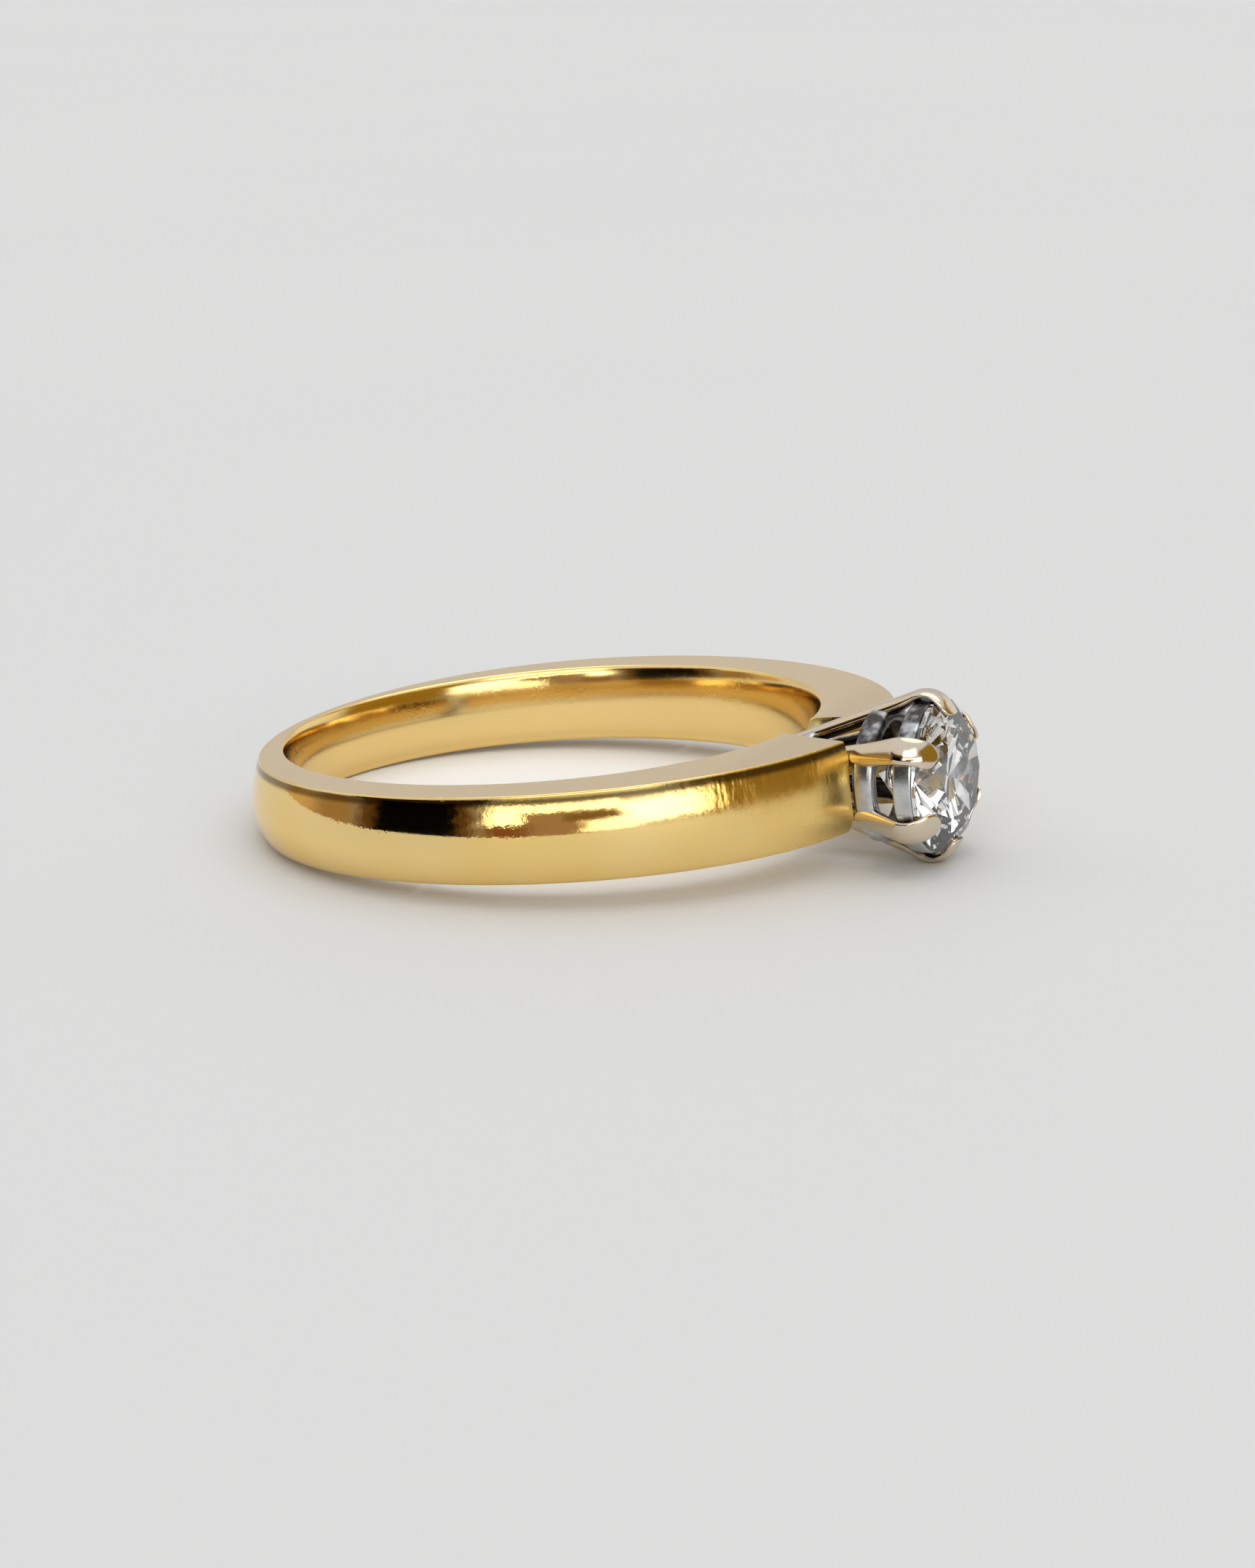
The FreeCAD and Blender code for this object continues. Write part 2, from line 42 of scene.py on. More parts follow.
class Wire:
    # wraps a node's output, so that shader and geometry maths read as plain expressions
    def __init__(self, tree, socket=None):
        self.tree = tree
        self.socket = socket

    def plug(self, target, value):
        if isinstance(value, Wire):
            self.tree.links.new(value.socket, target)
        elif value is not None:
            target.default_value = value

    def make(self, kind, settings=None, sockets=None, out=0):
        # any node: its type, its settings, then the values or links of its sockets
        node = self.tree.nodes.new(kind)
        for name, value in (settings or {}).items():
            setattr(node, name, value)
        for name, value in (sockets or {}).items():
            self.plug(node.inputs[name], value)
        return Wire(self.tree, node.outputs[out] if len(node.outputs) else None)

    def maths(self, operation, *values):
        node = self.tree.nodes.new("ShaderNodeMath")
        node.operation = operation
        for target, value in zip(node.inputs, values):
            self.plug(target, value)
        return Wire(self.tree, node.outputs[0])

    def __add__(self, other):
        return self.maths("ADD", self, other)

    def __radd__(self, other):
        return self.maths("ADD", other, self)

    def __sub__(self, other):
        return self.maths("SUBTRACT", self, other)

    def __rsub__(self, other):
        return self.maths("SUBTRACT", other, self)

    def __mul__(self, other):
        return self.maths("MULTIPLY", self, other)

    def __rmul__(self, other):
        return self.maths("MULTIPLY", other, self)

    def __truediv__(self, other):
        return self.maths("DIVIDE", self, other)

    def __rtruediv__(self, other):
        return self.maths("DIVIDE", other, self)

    def __pow__(self, other):
        return self.maths("POWER", self, other)

    def __lt__(self, other):
        return self.maths("LESS_THAN", self, other)

    def __gt__(self, other):
        return self.maths("GREATER_THAN", self, other)

    def sin(self):
        return self.maths("SINE", self)

    def cos(self):
        return self.maths("COSINE", self)

    def asin(self):
        return self.maths("ARCSINE", self)

    def atan(self):
        return self.maths("ARCTANGENT", self)

    def sqrt(self):
        return self.maths("SQRT", self)

    def size(self):
        return self.maths("ABSOLUTE", self)

    def sign(self):
        return self.maths("SIGN", self)

    def least(self, other):
        return self.maths("MINIMUM", self, other)

    def most(self, other):
        return self.maths("MAXIMUM", self, other)

    def pick(self, yes, no):
        # yes where this mask is 1, no where it is 0
        return no + (yes - no) * self

    def smooth(self, start, end):
        # 0 at start, 1 at end, with soft ends
        return self.make("ShaderNodeMapRange", {"interpolation_type": "SMOOTHSTEP"},
                         {"Value": self, "From Min": start, "From Max": end})


def newMaterial(name):
    material = bpy.data.materials.new(name)
    material.use_nodes = True
    tree = material.node_tree
    tree.nodes.clear()
    wire = Wire(tree)
    place = wire.make("ShaderNodeTexCoord", out=3)      # Object coordinates
    return material, wire, place


def finishMaterial(wire, fixed, linked):
    shader = wire.make("ShaderNodeBsdfPrincipled", sockets={**fixed, **linked})
    wire.make("ShaderNodeOutputMaterial", sockets={"Surface": shader})


def addBump(wire, height, strength=1.0, distance=mm):
    return wire.make("ShaderNodeBump", sockets={
        "Strength": strength, "Distance": distance, "Height": height})


def stretched(wire, place, scale, turn=(0, 0, 0)):
    return wire.make("ShaderNodeMapping", sockets={"Vector": place, "Rotation": turn, "Scale": scale})


def noise(wire, place, scale, detail=2.0, rough=0.5):
    return wire.make("ShaderNodeTexNoise", sockets={
        "Vector": place, "Scale": scale, "Detail": detail, "Roughness": rough})


def mixColour(wire, mask, first, second):
    node = wire.tree.nodes.new("ShaderNodeMix")
    node.data_type = "RGBA"
    wire.plug(node.inputs[0], mask)
    wire.plug(node.inputs[6], first)
    wire.plug(node.inputs[7], second)
    return Wire(wire.tree, node.outputs[2])


def splitPlace(wire, place):
    return [wire.make("ShaderNodeSeparateXYZ", sockets={"Vector": place}, out=axis) for axis in range(3)]


# depths are in millimetres, ranges run from where an effect starts to where it is full
yellowGold = {
    "colour": (0.96, 0.71, 0.30, 1),
    "deepColour": (0.94, 0.66, 0.225, 1),
    "satinSheenColour": (0.80, 0.66, 0.45, 1),
    "paintedLineColour": (0.06, 0.036, 0.010, 1),
    "seamColour": (0.60, 0.375, 0.065, 1),
    "boreColour": (0.82, 0.60, 0.25, 1),
    "satinSheenShare": 0.8,
    "seamShare": 0.85,
    "roughness": 0.05,
    "grainHaze": 0.04,            # added to the roughness, each in its own place
    "pitHaze": 0.05,
    "shoulderHaze": 0.06,
    "dentHaze": 0.08,
    "boreHaze": 0.07,
    "seamHaze": 0.13,
    "satinRoughness": 0.28,
    "satinSpread": 0.12,
    "rippleDepth": 0.0025,
    "grainDepth": 0.003,
    "pitDepth": 0.006,
    "dentDepth": 0.026,
    "satinDepth": 0.004,
    "broadScale": 240,
    "patchScale": 520,
    "rippleScale": 900,
    "pitScale": 1500,
    "brushScale": 1600,
    "dentScale": 2600,
    "grainScale": 5200,
    "brushStretch": (5, 1, 1),
    "dentStretch": (1, 1, 0.35),
    "pitEdge": (0.05, 0.17),
    "patchEdge": (0.45, 0.62),
    "sideFaces": (0.93, 0.995),             # how squarely the surface faces along the finger hole
    "outside": (8.9 * mm, 9.1 * mm),        # from the axis of the finger hole
    "shoulder": (6.6 * mm, 9.4 * mm),       # towards the stone
    "seam": (8.0 * mm, 9.4 * mm),
    "seamBlur": (8.8 * mm, 9.9 * mm),
    "seamHeight": (0.10, 0.45),             # shares of half the band's width
    "struckHeight": (-0.15, 0.40),
    "lineFoot": (0.74, 0.86),
    "lineTop": (0.94, 0.975),
    "boreRim": (0.78, 0.92),
}


def makeYellowGold(values):
    material, wire, place = newMaterial("yellowGold")
    x, y, z = splitPlace(wire, place)
    normal = wire.make("ShaderNodeNewGeometry", out=3)      # True Normal
    normalUp = wire.make("ShaderNodeSeparateXYZ", sockets={"Vector": normal}, out=2).size()
    flatSide = normalUp.smooth(*values["sideFaces"])
    radius = (x * x + y * y).sqrt()
    outside = radius.smooth(*values["outside"])
    inside = 1 - outside
    shoulder = x.smooth(*values["shoulder"]) * outside
    widening = (shank["headWidth"] - shank["backWidth"]) * (1 + x / radius) / 2
    share = z / ((shank["backWidth"] + widening) / 2)
    # a painted dark reflection: a thin dark line under the filed edge
    paintedEdgeReflection = share.smooth(*values["lineFoot"]) * (1 - share.smooth(*values["lineTop"])) * outside
    # the solder's heat has tinted the seam, and the upper half of the shoulders has been knocked
    seam = x.smooth(*values["seam"]) * share.smooth(*values["seamHeight"]) * outside
    struck = shoulder * share.smooth(*values["struckHeight"]) * (1 - flatSide)
    rubbed = inside * (1 - share.size().smooth(*values["boreRim"]))

    broad = noise(wire, place, values["broadScale"], 1)
    ripple = noise(wire, place, values["rippleScale"], 2, 0.5)
    grain = noise(wire, place, values["grainScale"], 2, 0.6)
    dents = noise(wire, stretched(wire, place, values["dentStretch"]), values["dentScale"], 2, 0.6)
    pits = 1 - wire.make("ShaderNodeTexVoronoi", {"feature": "F1"}, {
        "Vector": place, "Scale": values["pitScale"], "Randomness": 1.0}).smooth(*values["pitEdge"])
    patches = noise(wire, place, values["patchScale"], 1).smooth(*values["patchEdge"]) * (1 - shoulder)
    brushed = noise(wire, stretched(wire, place, values["brushStretch"]), values["brushScale"], 3, 0.7)

    clean = mixColour(wire, broad.smooth(0.35, 0.7), values["colour"], values["deepColour"])
    tinted = mixColour(wire, seam * values["seamShare"], clean, values["seamColour"])
    worn = mixColour(wire, rubbed, tinted, values["boreColour"])
    lined = mixColour(wire, paintedEdgeReflection * (0.55 + 0.45 * broad), worn, values["paintedLineColour"])
    # the flat side faces get a paler colour, a painted sheen of the white light they reflect; their real
    # satin finish is in the roughness and bump
    colour = mixColour(wire, flatSide * values["satinSheenShare"], lined, values["satinSheenColour"])
    polish = (values["roughness"] + values["grainHaze"] * grain.smooth(0.5, 0.8)
              + values["pitHaze"] * patches * pits
              + shoulder * (values["shoulderHaze"] + values["dentHaze"] * dents)
              + values["boreHaze"] * inside
              + values["seamHaze"] * x.smooth(*values["seamBlur"]) * outside)
    satin = values["satinRoughness"] + values["satinSpread"] * brushed
    roughness = flatSide.pick(satin, polish)
    height = (values["rippleDepth"] * ripple + values["dentDepth"] * struck * dents
              + values["grainDepth"] * grain * (0.35 + patches + shoulder)
              - values["pitDepth"] * pits * patches + values["satinDepth"] * flatSide * brushed)
    finishMaterial(wire, {"Metallic": 1.0},
                   {"Base Color": colour, "Roughness": roughness, "Normal": addBump(wire, height)})
    return material


whiteGold = {
    "colour": (0.73, 0.64, 0.52, 1),
    "wornColour": (0.79, 0.65, 0.46, 1),
    "paintedShadeColour": (0.035, 0.028, 0.022, 1),
    "roughness": 0.07,
    "fineHaze": 0.06,
    "brushHaze": 0.05,
    "paintedShadeHaze": 0.12,
    "waveDepth": 0.004,
    "lineDepth": 0.0009,
    "fineDepth": 0.0006,
    "broadScale": 800,
    "brushScale": 900,
    "patchScale": 1700,
    "fineScale": 5200,
    "brushTurn": (0, 0.36, 0),
    "brushStretch": (1, 5, 5),
    "paintedShade": (0.20 * mm, 0.36 * mm),    # depth inside the head's outline where the painted shade starts and where it is full
    "paintedShadePatches": 0.25 * mm,
    "paintedShadeFront": (13.3 * mm, 13.0 * mm),
    "paintedTopShade": 0.0,
    "topHeight": (0.9 * mm, 1.4 * mm),
    "topPatches": (0.70, 0.36),
}

# the rings are rougher and greyer than the claws, their painted shade starts deeper inside the head, and
# their tops get painted shade too
ringGold = {
    **whiteGold,
    "colour": (0.72, 0.74, 0.77, 1),
    "wornColour": (0.50, 0.51, 0.53, 1),
    "roughness": 0.22,
    "paintedShade": (0.50 * mm, 0.85 * mm),
    "paintedShadePatches": 0.4 * mm,
    "paintedTopShade": 0.95,
}


def makeWhiteGold(name, values):
    material, wire, place = newMaterial(name)
    x, y, z = splitPlace(wire, place)
    outline = head["rootRadius"] + (x - head["rootAlong"]) * math.tan(head["lean"])
    depth = outline - (y * y + z * z).sqrt()
    broad = noise(wire, place, values["broadScale"], 2)
    fine = noise(wire, place, values["fineScale"], 3, 0.6)
    patchy = noise(wire, place, values["patchScale"], 2, 0.6)
    brushed = noise(wire, stretched(wire, place, values["brushStretch"], values["brushTurn"]),
                    values["brushScale"], 3, 0.6)
    # painted shade: the colour darkens deep inside the head's outline
    buried = depth + (patchy - 0.5) * values["paintedShadePatches"]
    within = buried.smooth(*values["paintedShade"]) * x.smooth(*values["paintedShadeFront"])
    # painted shade on the tops of the rings
    above = z.smooth(*values["topHeight"]) * patchy.smooth(*values["topPatches"]) * values["paintedTopShade"]
    paintedShade = within.most(above)
    worn = mixColour(wire, broad.smooth(0.4, 0.7), values["colour"], values["wornColour"])
    colour = mixColour(wire, paintedShade, worn, values["paintedShadeColour"])
    roughness = (values["roughness"] + values["fineHaze"] * fine.smooth(0.4, 0.8)
                 + values["brushHaze"] * brushed + values["paintedShadeHaze"] * paintedShade)
    height = (values["waveDepth"] * broad + values["lineDepth"] * brushed
              + values["fineDepth"] * fine)
    finishMaterial(wire, {"Metallic": 1.0},
                   {"Base Color": colour, "Roughness": roughness, "Normal": addBump(wire, height)})
    return material


diamond = {
    "colour": (0.985, 0.99, 1.0, 1),
    "ior": 2.417,
    "film": 0.012,                      # roughness where a trace of skin grease lies on a facet
    "smearScale": 900,
    "smear": (0.55, 0.8),
}


def makeDiamond(values):
    material, wire, place = newMaterial("diamond")
    smear = noise(wire, place, values["smearScale"], 2).smooth(*values["smear"])
    finishMaterial(wire, {"Base Color": values["colour"], "IOR": values["ior"],
                          "Transmission Weight": 1.0},
                   {"Roughness": values["film"] * smear})
    return material


floorFinish = {
    "colour": (0.722, 0.732, 0.742, 1),
    "shade": (0.710, 0.720, 0.731, 1),
    "paintedPoolColour": (0.87, 0.867, 0.86, 1),
    "glow": (0.068, 0.061, 0.050, 1),   # light that the polished band throws on the floor round it
    "glowCentre": 1.1 * mm,
    "glowEdge": (6.8 * mm, 12.0 * mm),
    "glowScale": 160,
    "cloudScale": 14,
    "grainScale": 1800,
    "grainDepth": 0.05 * mm,
    "grainStrength": 0.25,
    "roughness": 0.62,
    "specular": 0.3,
}


def makeFloorFinish(values):
    material, wire, place = newMaterial("paleFloor")
    x, y = splitPlace(wire, place)[:2]
    cloud = noise(wire, place, values["cloudScale"], 2)
    grain = noise(wire, place, values["grainScale"], 2)
    uneven = 0.7 + 0.6 * noise(wire, place, values["glowScale"], 1)
    aside = x - values["glowCentre"]
    # painted pool of light round the ring: the floor colour is lighter there, and it glows
    near = 1 - (aside * aside + y * y).sqrt().smooth(*values["glowEdge"])
    plain = mixColour(wire, cloud.smooth(0.3, 0.7), values["colour"], values["shade"])
    colour = mixColour(wire, near, plain, values["paintedPoolColour"])
    glow = mixColour(wire, near * uneven, (0, 0, 0, 1), values["glow"])
    bump = addBump(wire, grain, values["grainStrength"], values["grainDepth"])
    finishMaterial(wire, {"Roughness": values["roughness"], "Specular IOR Level": values["specular"],
                          "Emission Strength": 1.0},
                   {"Base Color": colour, "Normal": bump, "Emission Color": glow})
    return material


def newTree(name, inputs):
    tree = bpy.data.node_groups.new(name, "GeometryNodeTree")
    tree.interface.new_socket("Geometry", in_out="OUTPUT", socket_type="NodeSocketGeometry")
    for label, value in inputs.items():
        kind = "NodeSocketInt" if isinstance(value, int) else "NodeSocketFloat"
        socket = tree.interface.new_socket(label, in_out="INPUT", socket_type=kind)
        socket.default_value = value
    wire = Wire(tree)
    source = tree.nodes.new("NodeGroupInput")
    return tree, wire, {label: Wire(tree, source.outputs[label]) for label in inputs}


def gridRows(wire, around, across):
    # a sheet of vertices: which row and which place in the row each one has
    sheet = wire.make("GeometryNodeMeshGrid", sockets={"Vertices X": around, "Vertices Y": across})
    index = wire.make("GeometryNodeInputIndex")
    row = wire.maths("FLOOR", index / across + 0.0001)      # the small step keeps rounding harmless
    place = index - row * across
    return sheet, row, place


def closeSheet(wire, sheet, x, y, z):
    # vertices to their places, seams and poles joined
    position = wire.make("ShaderNodeCombineXYZ", sockets={"X": x, "Y": y, "Z": z})
    placed = wire.make("GeometryNodeSetPosition", sockets={"Geometry": sheet, "Position": position})
    return wire.make("GeometryNodeMergeByDistance", sockets={"Geometry": placed, "Distance": 1e-7})


def endTree(wire, solid, material):
    real = wire.make("GeometryNodeRealizeInstances", sockets={"Geometry": solid})
    done = wire.make("GeometryNodeSetMaterial", sockets={"Geometry": real, "Material": material})
    wire.make("NodeGroupOutput", sockets={"Geometry": done})


def pieceFromTree(name, tree, values, finish, nodes, sharpAngle=35):
    carrier = bpy.data.objects.new(name + "Carrier", bpy.data.meshes.new(name + "Carrier"))
    bpy.context.scene.collection.objects.link(carrier)
    modifier = carrier.modifiers.new("shape", "NODES")
    modifier.node_group = tree
    for item in tree.interface.items_tree:
        if item.in_out == "INPUT" and item.name in values:
            modifier[item.identifier] = values[item.name]
    graph = bpy.context.evaluated_depsgraph_get()
    mesh = bpy.data.meshes.new_from_object(carrier.evaluated_get(graph))
    carrier.modifiers.remove(modifier)
    bpy.data.objects.remove(carrier)
    mesh.name = name
    piece = bpy.data.objects.new(name, mesh)
    bpy.context.scene.collection.objects.link(piece)
    outward(mesh)
    mesh.shade_smooth()
    mesh.set_sharp_from_angle(angle=math.radians(sharpAngle))
    mesh.materials.clear()
    mesh.materials.append(finish)
    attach(piece, "root")
    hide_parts(*nodes)
    return piece


def outward(mesh):
    shape = bmesh.new()
    shape.from_mesh(mesh)
    bmesh.ops.recalc_face_normals(shape, faces=shape.faces)
    if shape.calc_volume(signed=True) < 0:
        bmesh.ops.reverse_faces(shape, faces=shape.faces)
    shape.to_mesh(mesh)
    shape.free()


# the yellow gold band
shank = {
    "around": 520,
    "across": 161,
    "boreRadius": 8.5 * mm,
    "backWidth": 2.41 * mm,
    "headWidth": 2.86 * mm,
    "backWall": 0.5 * mm,
    "flankWall": 1.8 * mm,
    "shoulderWall": 2.66 * mm,
    "sway": 0.17 * mm,
    "domeRise": 0.30 * mm,
    "domeSkew": 0.3,              # the crest of the dome lies a little below the middle, from wear
    "edgeRound": 0.12 * mm,
    "edgeSquareness": 9.0,
    "boreDome": 0.105 * mm,       # the finger hole is eased a little towards its rims
    "boreDomePower": 1.5,
    "rimRound": 0.20 * mm,
    "rimSquareness": 4.5,
    "crowding": 0.4,              # how much the vertices gather at the edges
    "turnOffset": 0.0005,         # keeps each vertex clearly on the outside or on the bore
    "notchRoot": 1.03 * mm,       # half the gap between the shoulders, at the finger hole
    "notchSpread": 0.333,         # how fast that gap widens outwards
    "coneRadius": 1.14 * mm,      # the head's outline, let into the shoulders
    "coneSpread": 0.3696,
    "coneLength": 8 * mm,
    "coneFaces": 192,
}


def bandWall(turn, size):
    # side-wall thickness from the cosine of the angle to the stone
    lean = (size["shoulderWall"] - size["backWall"]) / 2
    fill = (size["shoulderWall"] + size["backWall"]) / 2 - size["flankWall"]
    sway = size["sway"] * 4 * (turn * turn * turn - turn)
    return size["flankWall"] + lean * turn + fill * turn * turn + sway


def makeShank(values):
    tree, wire, size = newTree("shankTree", values)
    sheet, row, place = gridRows(wire, size["around"], size["across"])
    v = place / (size["across"] - 1) * math.tau + size["turnOffset"]
    v = v + size["crowding"] * (2 * v).sin()
    # the first and last rows are closed ends, drawn in to the middle of the section
    span = ((row - 1) / (size["around"] - 3)).most(0).least(1)
    isEnd = (row < 0.5).most(row > size["around"] - 1.5)

    slant = size["notchSpread"].atan()
    offset = (size["notchRoot"] - size["notchSpread"] * size["boreRadius"]) * slant.cos()
    share = v.sin()
    outside = v.cos() > 0
    dome = size["domeRise"] * (1 - share * share) * (1 - size["domeSkew"] * share)
    edge = size["edgeRound"] * ((1 - share.size() ** size["edgeSquareness"]).most(0)
                                ** (1 / size["edgeSquareness"]) - 1)
    rim = size["boreDome"] * share.size() ** size["boreDomePower"] + size["rimRound"] * (
        1 - (1 - share.size() ** size["rimSquareness"]).most(0) ** (1 / size["rimSquareness"]))
    nearEnd = size["boreRadius"] + outside * size["shoulderWall"]
    gap = slant + (offset / nearEnd).asin()
    theta = gap + span * (math.tau - 2 * gap)
    outer = size["boreRadius"] + bandWall(theta.cos(), size) + dome + edge
    inner = size["boreRadius"] + rim
    radius = outside.pick(outer, inner)
    # the ends are flat: each vertex there keeps its own place on the notch's plane
    gap = slant + (offset / radius).asin()
    theta = gap + span * (math.tau - 2 * gap)
    width = size["backWidth"] + (size["headWidth"] - size["backWidth"]) * (1 + theta.cos()) / 2
    height = share * width / 2

    middle = size["boreRadius"] + size["shoulderWall"] / 2
    middleGap = slant + (offset / middle).asin()
    radius = isEnd.pick(middle, radius)
    height = isEnd.pick(0, height)
    theta = isEnd.pick(middleGap + span * (math.tau - 2 * middleGap), theta)
    band = closeSheet(wire, sheet, radius * theta.cos(), radius * theta.sin(), height)

    # the cone that the head's claws lie on
    cone = wire.make("GeometryNodeMeshCone", {"fill_type": "NGON"}, {
        "Vertices": size["coneFaces"], "Side Segments": 1,
        "Radius Top": size["coneRadius"] + size["coneLength"] * size["coneSpread"],
        "Radius Bottom": size["coneRadius"], "Depth": size["coneLength"]})
    turned = wire.make("GeometryNodeTransform", sockets={
        "Geometry": cone, "Rotation": (0, math.pi / 2, 0),
        "Translation": wire.make("ShaderNodeCombineXYZ", sockets={"X": size["boreRadius"]})})
    parted = wire.make("GeometryNodeMeshBoolean", {"operation": "DIFFERENCE", "solver": "EXACT"}, {
        "Mesh 1": band, "Mesh 2": turned})
    endTree(wire, parted, goldFinish)
    return pieceFromTree("goldBand", tree, values, goldFinish, ["shank"], 40)


goldFinish = makeYellowGold(yellowGold)
goldBand = makeShank(shank)
print("shank made", len(goldBand.data.polygons))


# the head's outline, which the claws and the rings share
head = {
    "rootAlong": 8.5 * mm,
    "rootRadius": 1.14 * mm,
    "lean": math.radians(20.28),
    "girdleTop": 13.415 * mm,
    "girdleRadius": 2.39 * mm,
    "crownAngle": math.radians(34.5),
}

claw = {
    "along": 150,
    "around": 65,
    "count": 6,
    "legThick": 0.50 * mm,
    "coverThick": 0.25 * mm,
    "rootWidth": 0.5 * mm,
    "bendWidth": 0.92 * mm,
    "bendRadius": 0.95 * mm,
    "tipRadius": 1.984 * mm,
    "squareness": 2.2,
    "bluntness": 2.7,            # 2 gives a round end, more gives a squarer one
    "taper": 0.12,               # a claw is narrower outside than inside, by this share
    "liftShare": 0.82,           # part of the tip's thickness that stands above the crown
    "thinStart": -0.9 * mm,      # from the start of the bend
    "thinEnd": 0.55 * mm,
    "rowCrowding": 1.6,          # above 1, the rows gather at the tip
}


def clawPath(base, values):
    # leg, bend and tip of a claw's outer face, seen from its side: plain numbers, in metres
    fold = math.pi / 2 - base["crownAngle"]
    lift = values["coverThick"] * values["liftShare"] / math.sin(fold)
    tipAlong = (base["girdleTop"] + (base["girdleRadius"] - values["tipRadius"])
                * math.tan(base["crownAngle"]) + lift)
    lean = base["lean"]
    corner = (values["tipRadius"] + tipAlong * math.tan(fold) - base["rootRadius"]
              + base["rootAlong"] * math.tan(lean)) / (math.tan(lean) + math.tan(fold))
    cornerRadius = base["rootRadius"] + (corner - base["rootAlong"]) * math.tan(lean)
    reach = values["bendRadius"] * math.tan((lean + fold) / 2)
    startAlong = corner - reach * math.cos(lean)
    startRadius = cornerRadius - reach * math.sin(lean)
    legLength = math.hypot(startAlong - base["rootAlong"], startRadius - base["rootRadius"])
    tipLength = math.hypot(tipAlong - corner, values["tipRadius"] - cornerRadius) - reach
    return {"bendAlong": startAlong, "bendHeight": startRadius, "legLength": legLength,
            "tipLength": tipLength, "lean": lean, "fold": fold}


def makeClaws(base, values):
    inputs = {**values, **clawPath(base, values)}
    tree, wire, size = newTree("clawTree", inputs)
    sheet, row, place = gridRows(wire, size["along"], size["around"])
    v = place / (size["around"] - 1) * math.tau
    bendLength = size["bendRadius"] * (size["lean"] + size["fold"])
    total = size["legLength"] + bendLength + size["tipLength"]
    share = ((row - 1) / (size["along"] - 3)).most(0).least(1)
    eased = 1 - (1 - share) ** size["rowCrowding"]
    run = eased * total
    isEnd = (row < 0.5).most(row > size["along"] - 1.5)

    past = run - size["legLength"]
    heading = size["lean"] - (past / size["bendRadius"]).most(0).least(size["lean"] + size["fold"])
    onLeg = past.least(0)
    onTip = (past - bendLength).most(0)
    x = (size["bendAlong"] + onLeg * size["lean"].cos() + onTip * size["fold"].cos()
         + size["bendRadius"] * (size["lean"].sin() - heading.sin()))
    r = (size["bendHeight"] + onLeg * size["lean"].sin() - onTip * size["fold"].sin()
         + size["bendRadius"] * (heading.cos() - size["lean"].cos()))

    width = (size["rootWidth"] + (size["bendWidth"] - size["rootWidth"])
             * (run / size["legLength"]).least(1))
    endRun = size["bendWidth"] / 2
    q = ((run - (total - endRun)) / endRun).most(0).least(1)
    taper = (1 - q ** size["bluntness"]).most(0) ** (1 / size["bluntness"])
    thin = past.smooth(size["thinStart"], size["thinEnd"])
    thick = size["legThick"] + (size["coverThick"] - size["legThick"]) * thin
    thick = thick * (1 - q * q * q * q).most(0).sqrt()
    width = width * taper
    shrink = 1 - isEnd
    power = 2 / size["squareness"]
    acrossShare = v.cos().sign() * v.cos().size() ** power
    outShare = v.sin().sign() * v.sin().size() ** power
    depth = thick / 2 * (1 - outShare * shrink)
    y = width / 2 * acrossShare * shrink * (1 - size["taper"] * (1 + outShare) / 2)
    solid = closeSheet(wire, sheet, x + heading.sin() * depth, y, r - heading.cos() * depth)

    # the same claw, turned about the axis of the head
    points = wire.make("GeometryNodeMeshLine", sockets={"Count": size["count"], "Offset": (0, 0, 0)})
    turn = wire.make("GeometryNodeInputIndex") / size["count"] * math.tau
    rotation = wire.make("ShaderNodeCombineXYZ", sockets={"X": turn})
    ring = wire.make("GeometryNodeInstanceOnPoints", sockets={
        "Points": points, "Instance": solid, "Rotation": rotation})
    endTree(wire, ring, clawFinish)
    nodes = [f"claw_{number + 1}" for number in range(values["count"])]
    return pieceFromTree("claws", tree, inputs, clawFinish, nodes, 60)


clawFinish = makeWhiteGold("whiteGold", whiteGold)
claws = makeClaws(head, claw)
print("claws made", len(claws.data.polygons))

headRings = {
    "baseCollar": {"node": "base_collar", "start": 8.47 * mm, "rise": 0.88 * mm,
                   "topRadius": 1.375 * mm, "wall": 0.62 * mm, "round": 0.14 * mm, "lean": head["lean"]},
    "lowerGallery": {"node": "lower_gallery", "start": 11.2 * mm, "rise": 0.72 * mm,
                     "topRadius": 2.12 * mm, "wall": 0.50 * mm, "round": 0.2 * mm,
                     "lean": math.radians(2)},
    "bearingRing": {"node": "bearing_ring", "start": 12.665 * mm, "rise": 0.62 * mm,
                    "topRadius": 2.40 * mm, "wall": 0.2 * mm, "round": 0.09 * mm,
                    "lean": math.radians(3)},
}
ringSteps = {"steps": 240, "cornerSteps": 8}


